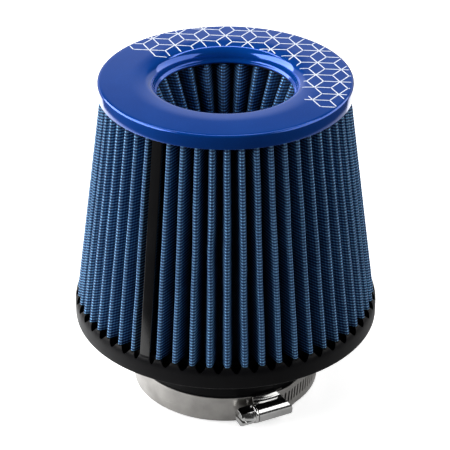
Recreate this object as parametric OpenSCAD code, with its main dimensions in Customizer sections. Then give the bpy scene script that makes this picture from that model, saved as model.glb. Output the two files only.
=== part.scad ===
// Cone air filter: a pleated cone wall with an inverted pleated cone inside it, between a
// stamped top ring and a moulded base whose neck is clamped on an intake pipe.
// The origin is the centre of the neck's open end, and +Z runs up through the filter.
// An azimuth of 0 points to -Y and grows towards +X. All sizes are millimetres.

/* [Neck] */
// Bore that slides over the intake pipe
neck_bore_d = 76; // [60:1:84]
// Wall of the neck
neck_wall = 6; // [4:0.5:8]
// From the neck's open end to the underside of the flange
neck_len = 37.5; // [28:0.5:60]
// Rounding between the neck and the flange
neck_fillet = 5; // [1:0.5:6]
// Rounding of the bore's mouth inside the filter
mouth_r = 4; // [1:0.5:6]
// Chamfer round the outside of the neck's open end
neck_chamfer = 0.8; // [0.3:0.1:2]

/* [Base flange] */
// Diameter of the flange
flange_d = 144; // [136:0.5:156]
// Thickness of the flange
flange_t = 10.8; // [8:0.2:16]
// Width of the flange's rounded top edge
rim_round_w = 2.4; // [1:0.1:3]
// Height of the flange's rounded top edge
rim_round_h = 4.6; // [1:0.1:6]
// Chamfer of the flange's bottom edge
rim_chamfer = 0.7; // [0.3:0.1:2]
// Radius of the pocket in each valley of the folds
pocket_r = 2.8; // [1.5:0.1:3]
// Radius of the two narrow pockets beside the seam strip
seam_pocket_r = 1.4; // [0.8:0.1:1.5]
// Depth of the pockets
pocket_depth = 5; // [2:0.5:7]
// Web between a pocket and the flange's outer face
pocket_web = 0.4; // [0.3:0.1:1]
// Radius of the pad that stands under each fold
pad_r = 1.6; // [1:0.1:2]
// How far the pads reach out past the crests of the folds
pad_out = 0.3; // [0.1:0.1:0.6]

/* [Outer wall] */
// Number of folds, without the one at the seam
outer_crests = 54; // [40:1:60]
// Height of the wall between the flange and the top ring
wall_h = 104; // [60:1:150]
// From the flange's outer face in to the crests of the folds
foot_inset = 1.3; // [1:0.1:3]
// Depth of the folds
outer_depth = 12; // [6:0.5:14]
// Thickness of the pleated sheet
outer_sheet_t = 1.3; // [0.8:0.1:1.5]

/* [Seam strip] */
// Azimuth of the seam
seam_az = -31.35; // [-180:0.05:180]
// Angle from the seam to the fold on each side
seam_pitch = 5.65; // [5.3:0.05:7]
// Width of the strip
strip_w = 5.3; // [5:0.1:6.5]
// Thickness of the strip's face
strip_face_t = 1; // [0.6:0.1:1.5]
// Depth of the strip's legs
strip_leg = 5; // [3:0.5:6]
// Chamfer along the strip's outer edges
strip_chamfer = 0.3; // [0.1:0.1:0.5]
// Gap between the two ends of the sheet
seam_gap = 0.2; // [0.1:0.1:0.4]

/* [Top ring] */
// Diameter of the ring
ring_d = 116; // [112:0.5:124]
// Height of the ring from its bottom edge to its flat face
ring_h = 6.6; // [5:0.1:10]
// Thickness of the ring's metal
ring_t = 0.8; // [0.5:0.1:1.2]
// Radius of the ring's outer corner
ring_corner_r = 1.6; // [1.3:0.1:2.5]
// From the ring's outer edge in to the rolled wall of the opening
face_w = 25.8; // [22:0.2:28]
// Radius of the roll round the opening
roll_r = 4.6; // [2:0.2:5]
// Depth of the lip below the flat face
lip_depth = 6.8; // [6:0.1:10]
// How far the lip's lower edge stands in from the rolled wall
lip_inset = 1.2; // [0.5:0.1:2]
// Depth of the ring's edge below the potting that fills it
skirt_cover = 0.5; // [0.2:0.1:1]
// Gap between the crests of the outer wall and the inside of the ring
skirt_gap = 0.4; // [0.2:0.1:1]

/* [Inner cone] */
// Number of folds
inner_crests = 25; // [16:1:26]
// Length of the inverted cone
inner_len = 45.3; // [30:0.1:60]
// How far the inward crests stand in from the lip's edge
inner_crest_in = 0.7; // [0.4:0.1:2]
// Radius of the inward crests at the closed end
inner_foot_r = 14.4; // [13.5:0.2:18]
// Depth of the folds
inner_depth = 8; // [5:0.5:8]
// Thickness of the pleated sheet
inner_sheet_t = 1.1; // [0.7:0.1:1.2]
// Azimuth of one inward crest
inner_phase = 183.6; // [170:0.1:190]
// Thickness of the disc that closes the cone
cap_t = 5; // [3:0.5:8]
// How far that disc stands out round the folds
cap_margin = 1.5; // [0.5:0.5:3]
// Height of the boss inside the folds
cap_boss_h = 3; // [1:0.5:6]

/* [Clamp] */
// Width of the strap
band_w = 12.7; // [9:0.1:14]
// Thickness of the strap
band_t = 0.7; // [0.5:0.1:1]
// From the neck's open end up to the strap
band_z = 0.9; // [0.5:0.1:14]
// Azimuth of the clamp's housing
clamp_az = 26.5; // [-180:0.5:180]
// Length of the housing
housing_len = 17.4; // [14:0.2:20]
// Length of the housing's slanted corner
housing_corner = 5; // [1:0.5:8]
// Width of the housing's slanted corner, across the strap
housing_corner_w = 5.9; // [3:0.1:7]
// How far the housing is wider than the strap
housing_extra_w = 1.6; // [1.2:0.1:3]
// Thickness of the housing's metal
housing_t = 0.7; // [0.5:0.1:1]
// Outer radius of the housing's tube
tube_r = 4.75; // [4.4:0.05:5.5]
// Wall of the housing's tube
tube_wall = 0.9; // [0.5:0.1:1.1]
// Thickness of the saddle's plate
saddle_t = 0.5; // [0.4:0.1:1]
// Radius of the worm
worm_r = 2.6; // [2.4:0.05:3]
// Radius of the screw's neck in the housing's end wall
screw_neck_r = 2.2; // [1.5:0.1:2.4]
// Radius of the screw's collar
collar_r = 4.7; // [3.5:0.1:5]
// Thickness of the screw's collar
collar_t = 1.4; // [0.8:0.1:2]
// Width of the hex head across its flats
head_af = 8; // [6:0.5:9]
// Length of the hex head
head_len = 7.2; // [4:0.2:9]
// Chamfer round the head's free end
head_chamfer = 0.5; // [0.2:0.1:1]
// Angle at which the head has stopped
head_turn = 20; // [0:5:60]
// Width of the slot in the head
head_slot_w = 1.2; // [0.8:0.1:2]
// Depth of the slot in the head
head_slot_depth = 1.8; // [1:0.1:3]
// Number of slots in the strap
band_slots = 26; // [4:1:30]
// Distance from one slot to the next, as an angle
slot_pitch = 3.04; // [2.6:0.02:4]
// Length of the slots
slot_len = 6.5; // [4:0.1:8]
// Width of the slots
slot_w = 1; // [0.6:0.1:1.4]
// Lean of the slots, for the lead of the worm
slot_lean = 8; // [0:1:12]

/* [Fits] */
// Gap between the pleated ends and the parts that hold them
fit_gap = 0.1; // [0.05:0.05:0.3]
// Running gap round the screw
run_gap = 0.15; // [0.1:0.05:0.3]

/* [Hidden] */
$fn = 180;
eps = 0.01;
// Steps in each rounded fold
fold_steps = 6;
// Steps in each quarter of a turned rounding
round_steps = 6;

flange_top = neck_len + flange_t;
wall_top = flange_top + wall_h;
skirt_z = wall_top - skirt_cover;
ring_top = skirt_z + ring_h;
lip_z = ring_top - lip_depth;
potting_in_z = lip_z - skirt_cover;
cone_z = potting_in_z - inner_len;

flange_r = flange_d / 2;
neck_r = neck_bore_d / 2 + neck_wall;
ring_r = ring_d / 2;
opening_r = ring_r - face_w;
lip_r = opening_r - lip_inset;
foot_r = flange_r - foot_inset;
head_r = ring_r - ring_t - skirt_gap;
inner_head_r = lip_r - inner_crest_in;
potting_step_r = (inner_head_r + inner_depth + head_r - outer_depth) / 2;

outer_pitch = (360 - 2 * seam_pitch) / (outer_crests - 1);
inner_pitch = 360 / inner_crests;

// Plane geometry

// Unit vector at an angle from +X
function dir(a) = [cos(a), sin(a)];

// Points of an arc from angle a to angle b
function arc(centre, r, a, b, steps) = [for (i = [0:steps]) centre + r * dir(a + (b - a) * i / steps)];

// Quarter of an ellipse, from its side to its top
function oval(centre, w, h, steps) =
    [for (i = [0:steps]) centre + [w * cos(90 * i / steps), h * sin(90 * i / steps)]];

// Angle of a flank's outward normal, measured from the radius through the point c that it leaves.
// v is the centre of the inward fold that it runs to, and t the sheet's thickness.
function lean(c, v, t) = atan2(v[1] - c[1], v[0] - c[0]) - acos(t / norm(v - c));

// The same for a round crest of radius ro and an inward fold of radius ri, half a pitch away
function crest_lean(ro, ri, half, t) = lean([ro - t, 0], (ri + t) * dir(half), t);

// Outward crest at angle a: its outer skin is an arc and its inner skin a crease
function crest_arc(ro, ri, t, a, lo, hi) =
    arc((ro - t) * dir(a), t, a - crest_lean(ro, ri, lo, t), a + crest_lean(ro, ri, hi, t), fold_steps);

// Inward fold at angle a: its inner skin is an arc that turns by lo and hi to each side
function trough_arc(ri, t, a, lo, hi) =
    arc((ri + t) * dir(a), t, a + 180 + lo, a + 180 - hi, fold_steps);

// Outer wall: position 0 and position outer_crests + 1 are both the seam

function crest_at(k) =
    seam_az - 90 + (k == 0 ? 0 : k > outer_crests ? 360 : seam_pitch + (k - 1) * outer_pitch);
function half_gap(v) = (crest_at(v + 1) - crest_at(v)) / 2;
function trough_at(v) = (crest_at(v + 1) + crest_at(v)) / 2;

// The sheet's two ends run side by side along the seam, inside the strip
function end_r(ro) = ro - strip_face_t - fit_gap;
function bend_r(ro) = ro - strip_leg;
function end_lean(ro) =
    lean([bend_r(ro), seam_gap / 2], (ro - outer_depth + outer_sheet_t) * dir(seam_pitch / 2), outer_sheet_t);

// Point at radius r, off to the side of the seam. side is 1 at the start and -1 at the end.
function seam_point(r, off, side) = r * dir(seam_az - 90) + side * off * dir(seam_az);
function seam_corner(ro, side) =
    let (b = end_lean(ro), m = (dir(90) + dir(b)) / (1 + cos(90 - b)))
    seam_point(bend_r(ro) + outer_sheet_t * m[0], seam_gap / 2 + outer_sheet_t * m[1], side);

function outer_skin(ro) = let (ri = ro - outer_depth, t = outer_sheet_t) concat(
    [seam_point(end_r(ro), seam_gap / 2 + t, 1), seam_corner(ro, 1)],
    [for (v = [0:outer_crests - 1])
        for (p = concat([(ri + t) * dir(trough_at(v))],
                        crest_arc(ro, ri, t, crest_at(v + 1), half_gap(v), half_gap(v + 1)))) p],
    [(ri + t) * dir(trough_at(outer_crests))],
    [seam_corner(ro, -1), seam_point(end_r(ro), seam_gap / 2 + t, -1)]);

// How far the inward fold v turns towards position k
function turn(ro, v, k) = let (ri = ro - outer_depth, half = half_gap(v))
    (k == 0 || k > outer_crests ? end_lean(ro) : crest_lean(ro, ri, half, outer_sheet_t)) - half;

function outer_lining(ro) = let (ri = ro - outer_depth, t = outer_sheet_t) concat(
    [seam_point(end_r(ro), seam_gap / 2, 1), seam_point(bend_r(ro), seam_gap / 2, 1)],
    [for (v = [0:outer_crests])
        for (p = concat(trough_arc(ri, t, trough_at(v), turn(ro, v, v), turn(ro, v, v + 1)),
                        v < outer_crests ? [(ro - t) * dir(crest_at(v + 1))] : [])) p],
    [seam_point(bend_r(ro), seam_gap / 2, -1), seam_point(end_r(ro), seam_gap / 2, -1)]);

// Inner cone: a closed wall of even folds

function inner_trough_at(v) = inner_phase - 90 + v * inner_pitch;

function inner_skin(ri) = let (t = inner_sheet_t, half = inner_pitch / 2)
    [for (v = [0:inner_crests - 1])
        for (p = concat([(ri + t) * dir(inner_trough_at(v))],
                        crest_arc(ri + inner_depth, ri, t, inner_trough_at(v) + half, half, half))) p];

function inner_lining(ri) =
    let (t = inner_sheet_t, half = inner_pitch / 2, b = crest_lean(ri + inner_depth, ri, half, t) - half)
    [for (v = [0:inner_crests - 1])
        for (p = concat(trough_arc(ri, t, inner_trough_at(v), b, b),
                        [(ri + inner_depth - t) * dir(inner_trough_at(v) + half)])) p];

// Faces of a pleated wall. Both skins repeat in groups of fold_steps + 2 points: the skin as a crease
// and an arc, the lining as an arc and a crease. s and l number the points of the two skins.

// End face of one inward fold u and the crest after it, counter-clockwise from above
function group_faces(u, s, l) = let (g = (fold_steps + 2) * u, last = fold_steps + 1) concat(
    [for (i = [0:fold_steps - 1]) [s(g), l(g + i + 1), l(g + i)]],
    [[s(g), s(g + 1), l(g + last), l(g + fold_steps)]],
    [for (i = [1:fold_steps]) [s(g + i), s(g + i + 1), l(g + last)]]);

function flip(faces) = [for (f = faces) [for (i = [len(f) - 1:-1:0]) f[i]]];
function shift(faces, by) = [for (f = faces) [for (i = f) i + by]];

// Walls between the low and the high copy of one skin, which start at points lo and hi
function skin_walls(lo, hi, count, closed) =
    [for (j = [0:count - (closed ? 1 : 2)]) let (k = (j + 1) % count)
        for (f = [[lo + j, hi + j, hi + k], [lo + j, hi + k, lo + k]]) f];

// skins holds the lower skin and lining and the upper skin and lining, at heights z0 and z1
module pleated_wall(skins, z0, z1, closed) {
    ns = len(skins[0]);
    nl = len(skins[1]);
    lead = closed ? 0 : 2;
    groups = closed ? inner_crests : outer_crests;
    last = (fold_steps + 2) * groups;
    s = function (i) (i + lead) % ns;
    l = function (i) ns + (i + lead) % nl;
    flanks = [for (u = [closed ? 1 : 0:groups]) let (g = (fold_steps + 2) * u) [s(g - 1), s(g), l(g), l(g - 1)]];
    open_end = [
        [s(-2), s(-1), l(-1), l(-2)],
        for (i = [0:fold_steps - 1]) [s(last), l(last + i + 1), l(last + i)],
        [s(last), s(last + 1), l(last + fold_steps + 1), l(last + fold_steps)],
        [s(last + 1), s(last + 2), l(last + fold_steps + 2), l(last + fold_steps + 1)]];
    low = concat(flanks, closed ? [] : open_end,
        [for (u = [0:groups - 1]) for (f = group_faces(u, s, l)) f]);
    up = ns + nl;
    butts = closed ? [] : [
        [ns, up + ns, up, 0],
        [ns - 1, up + ns - 1, up + ns + nl - 1, ns + nl - 1]];
    points = concat(
        [for (p = concat(skins[0], skins[1])) [p[0], p[1], z0]],
        [for (p = concat(skins[2], skins[3])) [p[0], p[1], z1]]);
    polyhedron(points, concat(low, flip(shift(low, up)), skin_walls(0, up, ns, closed),
        flip(skin_walls(ns, up + ns, nl, closed)), butts), convexity = 20);
}

module outer_media() {
    color([0.16, 0.42, 0.75])
    pleated_wall([outer_skin(foot_r), outer_lining(foot_r), outer_skin(head_r), outer_lining(head_r)],
        flange_top, wall_top, false);
}

module inner_media() {
    color([0.12, 0.33, 0.6])
    pleated_wall([inner_skin(inner_foot_r), inner_lining(inner_foot_r),
        inner_skin(inner_head_r), inner_lining(inner_head_r)], cone_z, potting_in_z, true);
}

// Top ring and its potting share the line of the ring's underside

roll_centre = [opening_r + roll_r, ring_top - roll_r];
corner_centre = [ring_r - ring_corner_r, ring_top - ring_corner_r];

function underside() = concat(
    [[ring_r - ring_t, wall_top]],
    arc(corner_centre, ring_corner_r - ring_t, 0, 90, round_steps),
    arc(roll_centre, roll_r - ring_t, 90, 180, round_steps),
    [[lip_r + ring_t, lip_z]]);

module top_ring() {
    face = concat(
        [[ring_r, skirt_z]],
        arc(corner_centre, ring_corner_r, 0, 90, round_steps),
        arc(roll_centre, roll_r, 90, 180, round_steps),
        [[lip_r, lip_z]]);
    back = underside();
    color([0.08, 0.22, 0.6])
    rotate_extrude()
    polygon(concat(face, [for (i = [len(back) - 1:-1:0]) back[i]], [[ring_r - ring_t, skirt_z]]));
}

module top_potting() {
    color([0.08, 0.08, 0.09])
    rotate_extrude()
    polygon(concat(underside(), [[lip_r, lip_z], [(lip_r + inner_head_r) / 2, potting_in_z],
        [potting_step_r, potting_in_z], [potting_step_r, wall_top]]));
}

module inner_end_cap() {
    out = inner_foot_r + inner_depth + cap_margin;
    in = inner_foot_r - 2 * fit_gap;
    edge = cap_t / 2;
    color([0.08, 0.08, 0.09])
    rotate_extrude()
    polygon(concat([[0, cone_z - cap_t], [out - edge, cone_z - cap_t]],
        arc([out - edge, cone_z - edge], edge, -90, 90, round_steps),
        [[in, cone_z], [in, cone_z + cap_boss_h], [0, cone_z + cap_boss_h]]));
}

// Places its child at the seam: x points out, y along the rim, z up the slope of the wall
module on_seam() {
    slope = atan((foot_r - head_r) / wall_h);
    rotate(seam_az - 90)
    translate([foot_r, 0, flange_top])
    rotate([0, -slope, 0])
    children();
}

module seam_strip() {
    side = strip_w / 2;
    edge = side - strip_chamfer;
    in = seam_gap / 2 + outer_sheet_t + fit_gap;
    over = 10;
    color([0.05, 0.05, 0.06])
    intersection() {
        on_seam()
        translate([0, 0, -over])
        linear_extrude(wall_h + 2 * over)
        polygon([[0, -edge], [0, edge], [-strip_chamfer, side], [-strip_leg, side], [-strip_leg, in],
            [-strip_face_t, in], [-strip_face_t, -in], [-strip_leg, -in], [-strip_leg, -side],
            [-strip_chamfer, -side]]);
        translate([0, 0, flange_top])
        cylinder(r = flange_r, h = wall_h);
    }
}

function base_profile() = concat(
    [[neck_bore_d / 2, 0], [neck_r - neck_chamfer, 0], [neck_r, neck_chamfer]],
    arc([neck_r + neck_fillet, neck_len - neck_fillet], neck_fillet, 180, 90, round_steps),
    [[flange_r - rim_chamfer, neck_len], [flange_r, neck_len + rim_chamfer]],
    oval([flange_r - rim_round_w, flange_top - rim_round_h], rim_round_w, rim_round_h, round_steps),
    arc([neck_bore_d / 2 + mouth_r, flange_top - mouth_r], mouth_r, 90, 180, round_steps));

module pocket(az, r, off) {
    rotate(az)
    translate([flange_r - pocket_web - r, off, flange_top - pocket_depth])
    cylinder(r = r, h = pocket_depth + eps);
}

module base() {
    pad_h = rim_round_h - fit_gap;
    pad_z = flange_top - rim_round_h;
    seam_off = (strip_w / 2 + foot_r * sin(seam_pitch) - outer_sheet_t) / 2;
    color([0.11, 0.11, 0.12])
    difference() {
        union() {
            rotate_extrude()
            polygon(base_profile());
            for (k = [1:outer_crests])
                rotate(crest_at(k))
                translate([foot_r + pad_out - pad_r, 0, pad_z])
                cylinder(r = pad_r, h = pad_h);
            rotate(crest_at(0))
            translate([foot_r + pad_out - pad_r, -strip_w / 2, pad_z])
            cube([pad_r, strip_w, pad_h]);
        }
        for (v = [1:outer_crests - 1])
            pocket(trough_at(v), pocket_r, 0);
        for (side = [-1, 1])
            pocket(crest_at(0), seam_pocket_r, side * seam_off);
    }
}

// Clamp. From the neck outwards lie the strap's inner end, the saddle, the strap's slotted tail,
// the housing's plate and the worm.

saddle_r = neck_r + band_t;
tail_r = saddle_r + saddle_t;
plate_r = tail_r + band_t;
worm_axis_r = plate_r + run_gap + worm_r;
band_mid_z = band_z + band_w / 2;
plate_half_w = (band_w + housing_extra_w) / 2;
// Half the housing's length as an angle on the strap
housing_half = atan(housing_len / 2 / tail_r);
// Angle by which the strap's ends and the saddle stop short of the housing's ends
end_in = 1;
tail_end_az = clamp_az - housing_half + end_in;
inner_end_az = clamp_az + housing_half - end_in;
// The tail comes down on the neck over this angle, from just outside the housing
tail_exit_az = clamp_az + housing_half + end_in;
ramp_angle = 12;

// Part of a ring round the neck, from azimuth a to azimuth b
module sector(r0, r1, z0, z1, a, b) {
    rotate_extrude(angle = b - a, start = a - 90)
    translate([r0, z0])
    square([r1 - r0, z1 - z0]);
}

module clamp_band() {
    ramp_end = tail_exit_az + ramp_angle;
    steps = 12;
    // The turned lengths run into the ramp by this angle
    lap = 0.2;
    fall = function (i) tail_r - (tail_r - neck_r) * (1 - cos(180 * i / steps)) / 2;
    at = function (i) tail_exit_az - 90 + ramp_angle * i / steps;
    color([0.72, 0.71, 0.7])
    difference() {
        union() {
            sector(neck_r, neck_r + band_t, band_z, band_z + band_w, ramp_end - lap, inner_end_az + 360);
            sector(tail_r, tail_r + band_t, band_z, band_z + band_w, tail_end_az, tail_exit_az + lap);
            translate([0, 0, band_z])
            linear_extrude(band_w)
            polygon(concat(
                [for (i = [0:steps]) fall(i) * dir(at(i))],
                [for (i = [steps:-1:0]) (fall(i) + band_t) * dir(at(i))]));
        }
        for (i = [0:band_slots - 1])
            rotate(tail_end_az + slot_pitch * (i + 1) - 90)
            translate([tail_r, 0, band_mid_z])
            rotate([slot_lean, 0, 0])
            cube([4 * band_t, slot_w, slot_len], center = true);
    }
}

// Places its child on the worm's axis: z runs along the screw from its head, x points out, y down
module on_worm() {
    rotate(clamp_az - 90)
    translate([worm_axis_r, 0, band_mid_z])
    rotate([-90, 0, 0])
    children();
}

// Takes off the slanted upper corner at the end away from the screw's head
module corner_cut() {
    size = 2 * housing_len;
    on_worm()
    translate([0, housing_corner_w - plate_half_w, housing_len / 2])
    rotate([atan(housing_corner / housing_corner_w), 0, 0])
    translate([0, 0, size / 2])
    cube(size, center = true);
}

module clamp_saddle() {
    a = clamp_az - housing_half + end_in;
    b = clamp_az + housing_half - end_in;
    color([0.7, 0.7, 0.7])
    difference() {
        union() {
            sector(saddle_r, tail_r, band_mid_z - plate_half_w, band_mid_z + plate_half_w, a, b);
            for (z = [band_mid_z - plate_half_w, band_mid_z + band_w / 2 + fit_gap])
                sector(saddle_r, plate_r, z, z + housing_extra_w / 2 - fit_gap, a, b);
        }
        corner_cut();
    }
}

module clamp_housing() {
    half = housing_len / 2;
    tube_in = tube_r - tube_wall;
    // Depth from the worm's axis to below the plate, at the ends of the housing
    reach = worm_axis_r - plate_r + 3 * housing_t;
    color([0.78, 0.78, 0.78])
    difference() {
        union() {
            sector(plate_r, plate_r + housing_t, band_mid_z - plate_half_w, band_mid_z + plate_half_w,
                clamp_az - housing_half, clamp_az + housing_half);
            on_worm()
            difference() {
                union() {
                    translate([0, 0, -half])
                    cylinder(r = tube_r, h = housing_len);
                    translate([-reach, -tube_r, -half])
                    cube([reach, 2 * tube_r, housing_len]);
                }
                translate([0, 0, -half + tube_wall])
                cylinder(r = tube_in, h = housing_len);
                translate([-reach - eps, -tube_in, -half + tube_wall])
                cube([reach, 2 * tube_in, housing_len]);
                translate([0, 0, -half - eps])
                cylinder(r = screw_neck_r + run_gap, h = tube_wall + 2 * eps);
            }
        }
        // Way through the plate for the worm
        on_worm()
        translate([-reach - eps, -tube_in, -half + tube_wall])
        cube([reach, 2 * tube_in, housing_len]);
        // Room for the strap and all inside it
        cylinder(r = plate_r, h = neck_len);
        corner_cut();
    }
}

module clamp_screw() {
    half = housing_len / 2;
    hex_r = head_af / 2 / cos(30);
    head_end = -half - run_gap - collar_t - head_len;
    color([0.75, 0.75, 0.76])
    on_worm()
    difference() {
        union() {
            intersection() {
                translate([0, 0, head_end])
                rotate(head_turn)
                cylinder(r = hex_r, h = head_len, $fn = 6);
                translate([0, 0, head_end])
                cylinder(r1 = hex_r - head_chamfer, r2 = hex_r - head_chamfer + head_len, h = head_len);
            }
            translate([0, 0, -half - run_gap - collar_t])
            cylinder(r = collar_r, h = collar_t);
            translate([0, 0, -half - run_gap - eps])
            cylinder(r = screw_neck_r, h = tube_wall + 2 * run_gap + 2 * eps);
            translate([0, 0, -half + tube_wall + run_gap])
            cylinder(r = worm_r, h = housing_len - tube_wall - 2 * run_gap);
        }
        translate([-hex_r, -head_slot_w / 2, head_end - eps])
        cube([2 * hex_r, head_slot_w, head_slot_depth]);
    }
}

top_ring();
top_potting();
outer_media();
inner_media();
inner_end_cap();
seam_strip();
base();
clamp_band();
clamp_housing();
clamp_saddle();
clamp_screw();
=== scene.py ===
"""Looks of the cone air filter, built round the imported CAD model.

The pieces are meshes made here in code, and each one stands for the CAD node of the same place. Sizes are
millimetres, repeated from the part, and MM turns them into metres. An azimuth of 0 points to -Y and grows
towards +X.
"""

import itertools
import math

import bmesh
import bpy
import numpy as np
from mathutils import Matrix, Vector


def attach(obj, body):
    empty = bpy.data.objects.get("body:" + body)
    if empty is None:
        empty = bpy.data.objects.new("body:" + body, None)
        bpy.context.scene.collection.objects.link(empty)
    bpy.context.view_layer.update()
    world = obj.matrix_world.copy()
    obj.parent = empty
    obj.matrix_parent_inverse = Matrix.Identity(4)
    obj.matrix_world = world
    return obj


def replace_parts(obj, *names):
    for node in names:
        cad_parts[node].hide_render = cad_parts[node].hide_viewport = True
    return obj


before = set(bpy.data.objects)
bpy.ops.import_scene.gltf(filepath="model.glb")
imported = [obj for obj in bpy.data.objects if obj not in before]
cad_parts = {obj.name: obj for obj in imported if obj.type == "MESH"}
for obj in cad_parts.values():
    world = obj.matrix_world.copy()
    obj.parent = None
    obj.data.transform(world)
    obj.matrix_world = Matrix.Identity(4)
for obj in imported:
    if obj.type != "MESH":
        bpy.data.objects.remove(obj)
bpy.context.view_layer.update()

MM = 0.001
WELD_DISTANCE = 1e-6

# Sizes of the part, in millimetres and degrees

BORE_R = 38
NECK_R = 44
NECK_LEN = 37.5
NECK_FILLET = 5
NECK_CHAMFER = 0.8
MOUTH_R = 4

FLANGE_R = 72
FLANGE_TOP = 48.3
RIM_ROUND_W = 2.4
RIM_ROUND_H = 4.6
RIM_CHAMFER = 0.7
POCKET_R = 2.8
SEAM_POCKET_R = 1.4
POCKET_DEPTH = 5
POCKET_WEB = 0.4
PAD_R = 1.6
PAD_OUT = 0.3

OUTER_CRESTS = 54
SEAM_AZ = -31.35
SEAM_PITCH = 5.65
FOOT_R = 70.7
HEAD_R = 56.8
WALL_TOP = 152.3
OUTER_DEPTH = 12
OUTER_SHEET_T = 1.3

STRIP_W = 5.3
STRIP_FACE_T = 1
STRIP_LEG = 5
STRIP_GAP = 3

RING_R = 58
RING_TOP = 158.4
RING_T = 0.8
RING_CORNER_R = 1.1
HEM_R = 0.15
KNEE_STEPS = 4
SKIRT_Z = 151.8
OPENING_R = 32.4
ROLL_R = 4.4
FACE_FALL = 0.25
FACE_FALL_W = 7.5
LIP_R = 31.2
LIP_Z = 150.9

INNER_CRESTS = 25
INNER_HEAD_R = 32.2
INNER_FOOT_R = 14.4
INNER_TOP = 150.4
CONE_Z = 105.8
INNER_DEPTH = 8
INNER_SHEET_T = 1.45
INNER_PHASE = 182
CAP_T = 5
CAP_MARGIN = 1.5
CAP_BOSS_H = 3

BAND_W = 12.7
BAND_T = 0.7
BAND_Z = 0.9
CLAMP_AZ = 26.5
HOUSING_LEN = 17.4
HOUSING_CORNER = 5
HOUSING_CORNER_W = 5.9
HOUSING_EXTRA_W = 1.6
HOUSING_T = 0.7
TUBE_R = 4.75
TUBE_WALL = 0.9
SADDLE_T = 0.5
WORM_R = 2.6
SCREW_NECK_R = 2.2
COLLAR_R = 4.7
COLLAR_T = 1.4
HEAD_AF = 8
HEAD_LEN = 7.2
HEAD_CHAMFER = 0.5
HEAD_TURN = 20
HEAD_SLOT_W = 1.2
HEAD_SLOT_DEPTH = 1.8
BAND_SLOTS = 26
SLOT_PITCH = 3.04
SLOT_LEN = 6.5
SLOT_W = 1
SLOT_LEAN = 8
RUN_GAP = 0.15

SADDLE_R = NECK_R + BAND_T
TAIL_R = SADDLE_R + SADDLE_T
PLATE_R = TAIL_R + BAND_T
WORM_AXIS_R = PLATE_R + RUN_GAP + WORM_R
BAND_MID_Z = BAND_Z + BAND_W / 2
PLATE_HALF_W = (BAND_W + HOUSING_EXTRA_W) / 2
HOUSING_HALF_AZ = math.degrees(math.atan(HOUSING_LEN / 2 / TAIL_R))
END_IN_AZ = 1
RAMP_AZ = 12

# The ring's face falls towards the opening, and the roll goes on from that slope.
FACE_SLOPE = math.atan(2 * FACE_FALL / FACE_FALL_W)
ROLL_FROM_R = OPENING_R + ROLL_R * (1 - math.sin(FACE_SLOPE))
ROLL_Z = RING_TOP - FACE_FALL - ROLL_R * math.cos(FACE_SLOPE)

# Pitch of the net that is woven over the blue cloth
NET_PITCH = 1.44

# Camera, fitted to the circles seen in the photo
CAMERA_LENS_MM = 154.87
CAMERA_SENSOR_MM = 36
CAMERA_SHIFT_X = -0.00133
CAMERA_PLACE = (0, -0.7922, 0.5346)
CAMERA_AIM = (0, 0, 0.08176)

# Signs of the corners of a rectangle, in order
BOX_CORNERS = ((-1, -1), (1, -1), (1, 1), (-1, 1))


def link_new(name, data):
    """A new object that holds data, in the scene."""
    thing = bpy.data.objects.new(name, data)
    bpy.context.collection.objects.link(thing)
    return thing


def look_at(thing, place, aim):
    thing.location = place
    thing.rotation_euler = (Vector(aim) - Vector(place)).to_track_quat("-Z", "Y").to_euler()


def add_camera():
    data = bpy.data.cameras.new("camera")
    data.lens = CAMERA_LENS_MM
    data.sensor_width = CAMERA_SENSOR_MM
    data.shift_x = CAMERA_SHIFT_X
    data.clip_start = 0.01
    camera = link_new("camera", data)
    look_at(camera, CAMERA_PLACE, CAMERA_AIM)
    bpy.context.scene.camera = camera


# Geometry helpers


def at(az, r, z):
    """Points in metres at azimuths in degrees, and radii and heights in millimetres."""
    a = np.radians(az)
    return np.stack(np.broadcast_arrays(r * np.sin(a), -r * np.cos(a), z), -1) * MM


def turned_to(az, x, y, z):
    """Points in metres on axes turned to an azimuth: x out from the neck's axis, y sideways and z up."""
    a = math.radians(az)
    x, y, z = np.broadcast_arrays(x, y, z)
    return np.stack([x * math.sin(a) + y * math.cos(a), -x * math.cos(a) + y * math.sin(a), z], -1) * MM


def unit(degrees):
    """Unit vector in a plane at an angle from +X."""
    a = math.radians(degrees)
    return np.array([math.cos(a), math.sin(a)])


def normed(vector):
    return vector / np.linalg.norm(vector)


def arc(centre, r, start, end, steps):
    """Points of an arc from one angle to another, in degrees."""
    return [np.array(centre) + r * unit(start + (end - start) * i / steps) for i in range(steps + 1)]


def rounded(corners, steps=4):
    """Closed outline with round corners. Each corner is (x, y, radius)."""
    line = []
    n = len(corners)
    for i, (x, y, radius) in enumerate(corners):
        p = np.array([x, y], float)
        if not radius:
            line.append(p)
            continue
        u = normed(np.array(corners[i - 1][:2]) - p)
        v = normed(np.array(corners[(i + 1) % n][:2]) - p)
        half = math.acos(np.clip(u @ v, -1, 1)) / 2
        reach = radius / math.tan(half)
        centre = p + normed(u + v) * radius / math.sin(half)
        a = p + u * reach - centre
        b = p + v * reach - centre
        for k in range(steps + 1):
            line.append(centre + normed(a * (1 - k / steps) + b * k / steps) * radius)
    return line


def grid_faces(rows, cols, wrap_rows=False, wrap_cols=False, first=0):
    """Quads of a grid of points numbered row after row from first."""
    i, j = np.meshgrid(np.arange(rows - (not wrap_rows)), np.arange(cols - (not wrap_cols)), indexing="ij")
    up = (i + 1) % rows
    right = (j + 1) % cols
    quads = np.stack([i * cols + j, i * cols + right, up * cols + right, up * cols + j], -1)
    return (quads.reshape(-1, 4) + first).tolist()


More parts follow.
